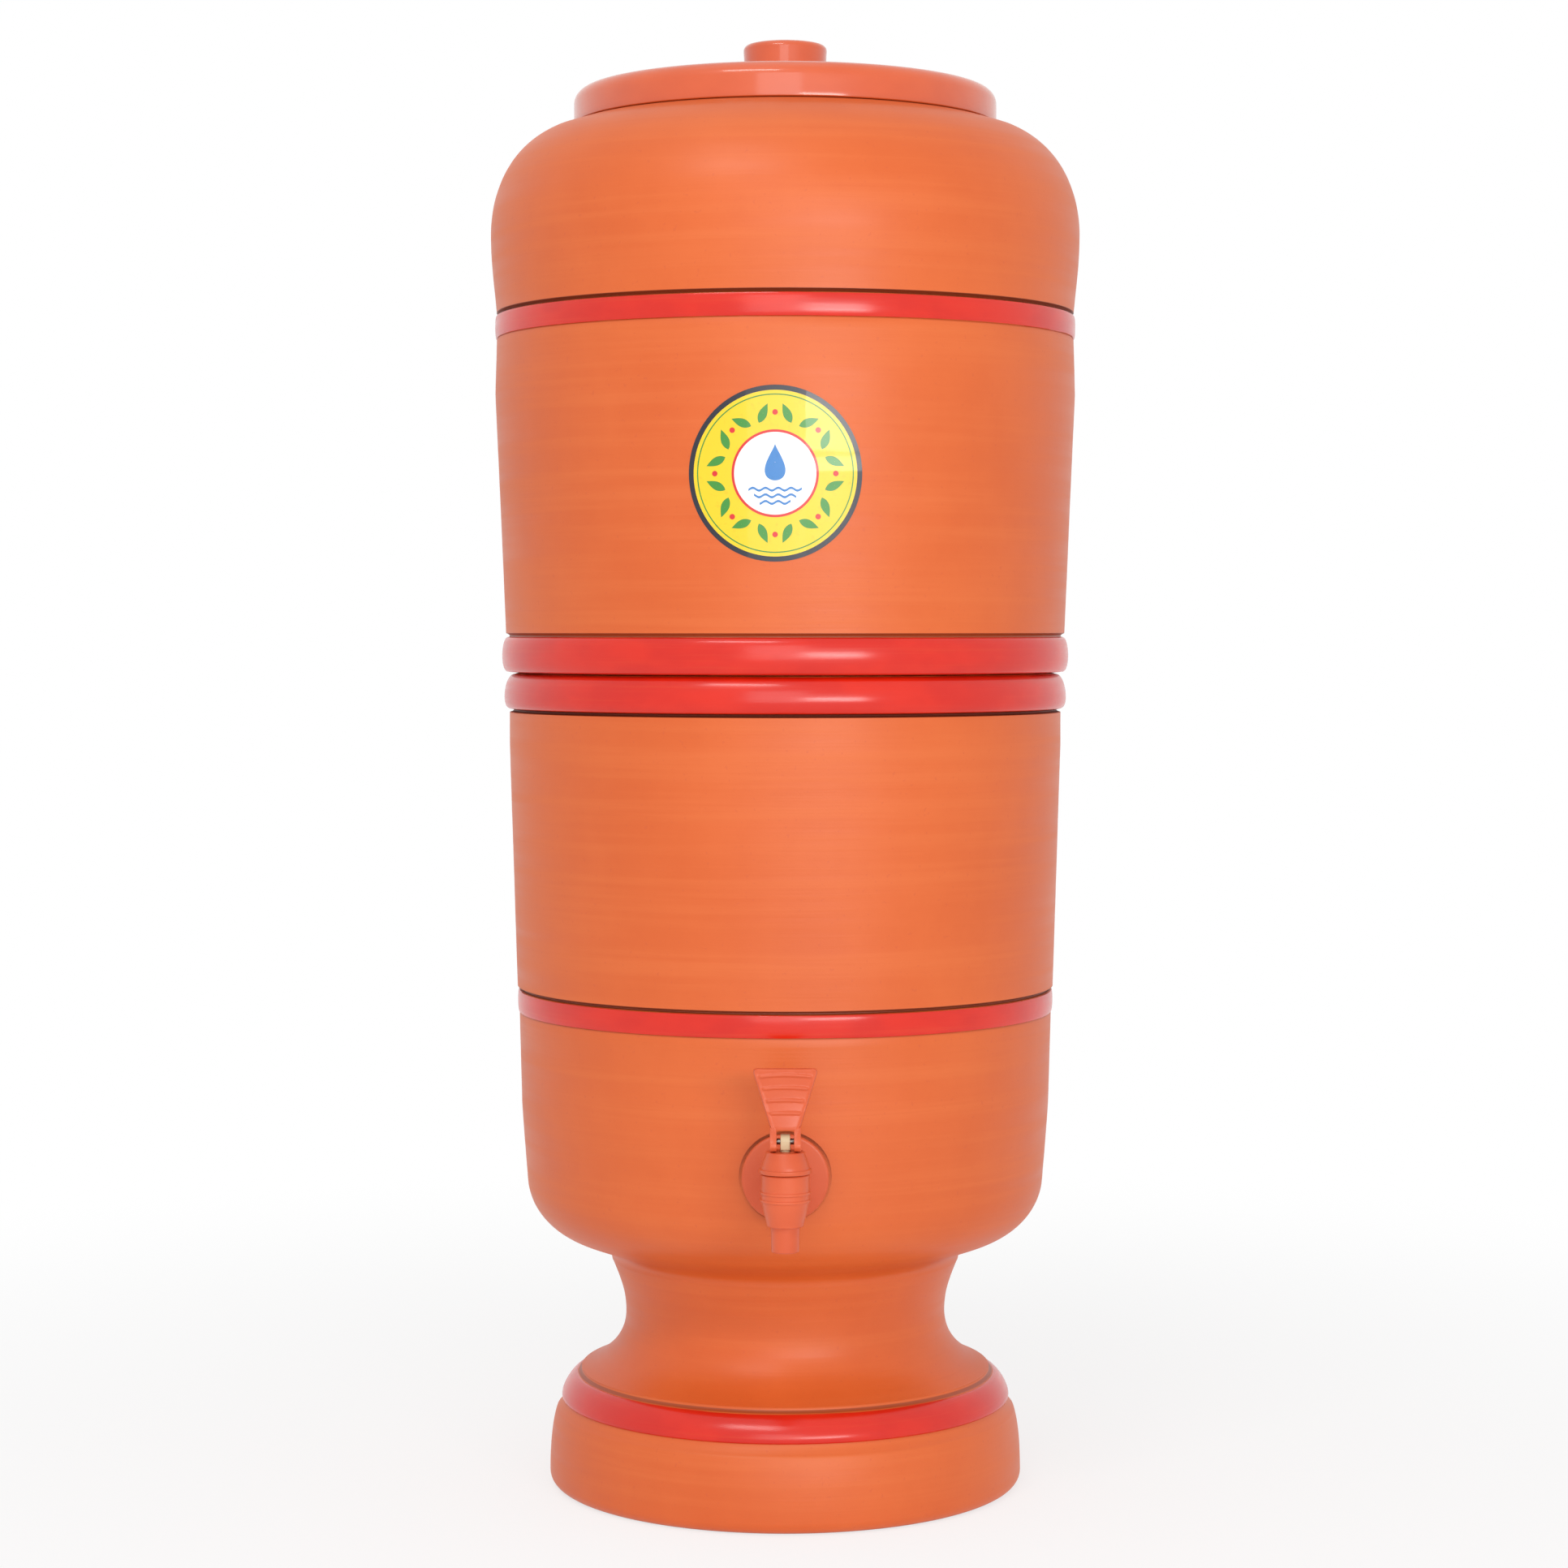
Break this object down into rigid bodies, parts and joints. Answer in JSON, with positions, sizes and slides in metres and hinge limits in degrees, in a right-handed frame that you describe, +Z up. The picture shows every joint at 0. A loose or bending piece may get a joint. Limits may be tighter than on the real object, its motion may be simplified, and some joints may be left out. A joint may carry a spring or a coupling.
{
  "type": "clay water filter",
  "caption": "Footed terracotta gravity water filter: two stacked chambers, lift-off lid with knob, ceramic candle with float valve inside, and a lever tap at the front.",
  "frame": {"origin": "centre of the underside of the whole object's box, on the surface it stands on; the turned axis of the vessels is 16.2 mm behind it", "axes": "+Z up along the vessels, the tap faces -Y, +X to the right seen from the front"},
  "size_m": [0.25, 0.2824, 0.614],
  "materials": {
    "terracotta": "unglazed, matte, with faint turning lines",
    "red_enamel": "glossy red painted bands",
    "lid_plastic": "glossy moulded",
    "tap_plastic": "satin moulded",
    "stem_plastic": "satin",
    "white_plastic": "satin moulded",
    "float_plastic": "satin, blow moulded",
    "filter_ceramic": "chalky, porous",
    "activated_carbon": "granular, matte",
    "grey_rubber": "matte",
    "spring_steel": "bright drawn"
  },
  "bodies": {
    "base": {"pedestal": "terracotta", "lower_reservoir": "terracotta", "tap_body": "tap_plastic", "tap_outer_washer": "grey_rubber", "tap_inner_washer": "grey_rubber", "tap_shank_nut": "tap_plastic", "tap_bonnet": "tap_plastic"},
    "upper": {"upper_reservoir": "terracotta", "candle_ceramic": "filter_ceramic", "candle_carbon": "activated_carbon", "candle_base": "white_plastic", "candle_gasket_upper": "grey_rubber", "candle_gasket_lower": "grey_rubber", "candle_wing_nut": "white_plastic", "float_valve_body": "white_plastic", "float_valve_cage": "white_plastic"},
    "float_arm": {"float": "float_plastic", "float_valve_seal": "grey_rubber"},
    "cover": {"lid": "lid_plastic"},
    "stem": {"tap_stem": "stem_plastic", "tap_seat_cup": "grey_rubber", "tap_spring": "spring_steel"},
    "lever": {"tap_lever": "tap_plastic", "tap_pivot_pin": "spring_steel"}
  },
  "joints": [
    {"name": "upper_lift", "type": "slide", "parent": "base", "child": "upper", "axis": [0, 0, 1], "range_m": [0, 0.115]},
    {"name": "float_rise", "type": "slide", "parent": "upper", "child": "float_arm", "axis": [0, 0, 1], "range_m": [0, 0.008]},
    {"name": "lid_lift", "type": "slide", "parent": "upper", "child": "cover", "axis": [0, 0, 1], "range_m": [0, 0.04]},
    {"name": "stem_lift", "type": "slide", "parent": "base", "child": "stem", "axis": [0, 0, 1], "range_m": [0, 0.003], "stiffness_N_per_m": 75, "springref_m": -0.006, "deforming": ["tap_spring"]},
    {"name": "lever_tilt", "type": "hinge", "parent": "stem", "child": "lever", "pos_m": [0, -0.13091, 0.1673], "axis": [1, 0, 0], "range_deg": [0, 50]}
  ],
  "couplings": [
    {"joint": "stem_lift", "follows": "lever_tilt", "m_per_rad": 0.0034377}
  ]
}
